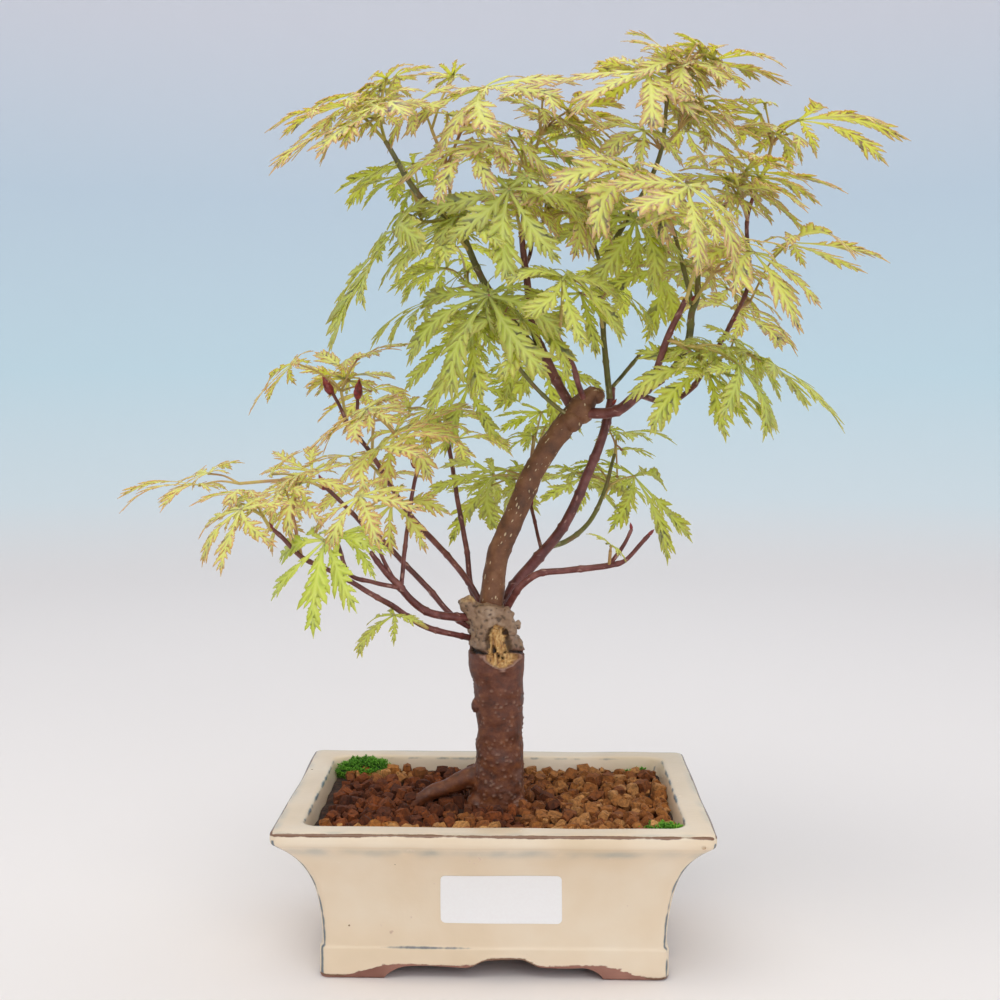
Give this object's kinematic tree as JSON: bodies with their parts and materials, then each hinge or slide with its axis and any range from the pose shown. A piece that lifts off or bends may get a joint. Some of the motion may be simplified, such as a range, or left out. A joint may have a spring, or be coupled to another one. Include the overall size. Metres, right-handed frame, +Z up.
{
  "type": "bonsai tree in a pot",
  "caption": "Laceleaf maple bonsai with a pruned trunk, a curved leader and lacy lobed leaves, in a footed rectangular glazed pot.",
  "frame": {"origin": "middle of the pot's footprint, on the surface that the pot stands on", "axes": "+Z up along the trunk, +X to the right along the pot's long side, -Y towards the front with the label"},
  "size_m": [0.352, 0.198, 0.4069],
  "materials": {
    "glaze": "cream glaze that breaks brown on the edges, bare clay under the feet",
    "label": "blank white adhesive label",
    "plastic_mesh": "black moulded drain mesh",
    "wire": "brown anodised soft wire",
    "soil": "fired clay granules, wet and dark on one side",
    "moss": "live green moss",
    "bark_old": "old red-brown bark with lenticels, rotted tan wound",
    "bark_brown": "brown bark with pale lenticels",
    "bark_red": "dark red smooth young bark",
    "bark_green": "olive green smooth young bark",
    "leaf_sun": "yellow-green leaf with pinkish edges",
    "leaf_green": "mid-green leaf",
    "leaf_bright": "bright green leaf",
    "leaf_orange": "yellow-green leaf with orange-pink edges"
  },
  "bodies": {
    "root": {"pot": "glaze", "label": "label", "drain_mesh_left": "plastic_mesh", "drain_wire_left": "wire", "drain_mesh_right": "plastic_mesh", "drain_wire_right": "wire", "soil": "soil", "moss_back_left": "moss", "moss_front_right": "moss", "moss_back_right": "moss", "trunk": "bark_old", "leader": "bark_brown", "secondary_stem": "bark_red", "low_right_branch": "bark_red", "left_back_branch": "bark_red", "left_middle_branch": "bark_red", "left_upper_branch": "bark_red", "left_arch": "bark_red", "left_lower_branch": "bark_red", "crown_stem_left": "bark_red", "crown_branch_left": "bark_green", "crown_twig_front": "bark_green", "crown_twig_dark": "bark_red", "right_arch": "bark_red", "right_stem_front": "bark_red", "right_stem_back": "bark_green", "right_shoot": "bark_red", "crown_stem_middle": "bark_green", "side_twig": "bark_red", "side_shoot": "bark_green", "leaves_top_left": "leaf_sun", "leaves_top_middle": "leaf_sun", "leaves_left_hanging": "leaf_green", "leaves_crown_centre": "leaf_green", "leaves_crown_top": "leaf_sun", "leaves_far_right_top": "leaf_sun", "leaves_crown_front": "leaf_sun", "leaves_right_front": "leaf_sun", "leaves_right_top": "leaf_sun", "leaves_far_right": "leaf_sun", "leaves_right_low": "leaf_green", "leaf_right_low_back": "leaf_green", "leaves_right_inner": "leaf_green", "leaf_middle_front": "leaf_green", "leaves_middle_left": "leaf_green", "leaves_left_inner": "leaf_green", "leaves_centre_back": "leaf_green", "leaves_side_twig": "leaf_green", "leaves_left_arch_top": "leaf_orange", "leaves_left_arch_front": "leaf_orange", "leaf_left_front_low": "leaf_bright", "leaves_left_low": "leaf_orange", "leaves_far_left": "leaf_orange", "leaves_left_middle": "leaf_orange", "leaves_left_back": "leaf_sun", "leaves_left_top": "leaf_orange", "leaves_side_shoot": "leaf_green", "leaves_side_shoot_low": "leaf_green", "leaf_left_under": "leaf_green", "leaf_right_young": "leaf_green"}
  },
  "joints": []
}
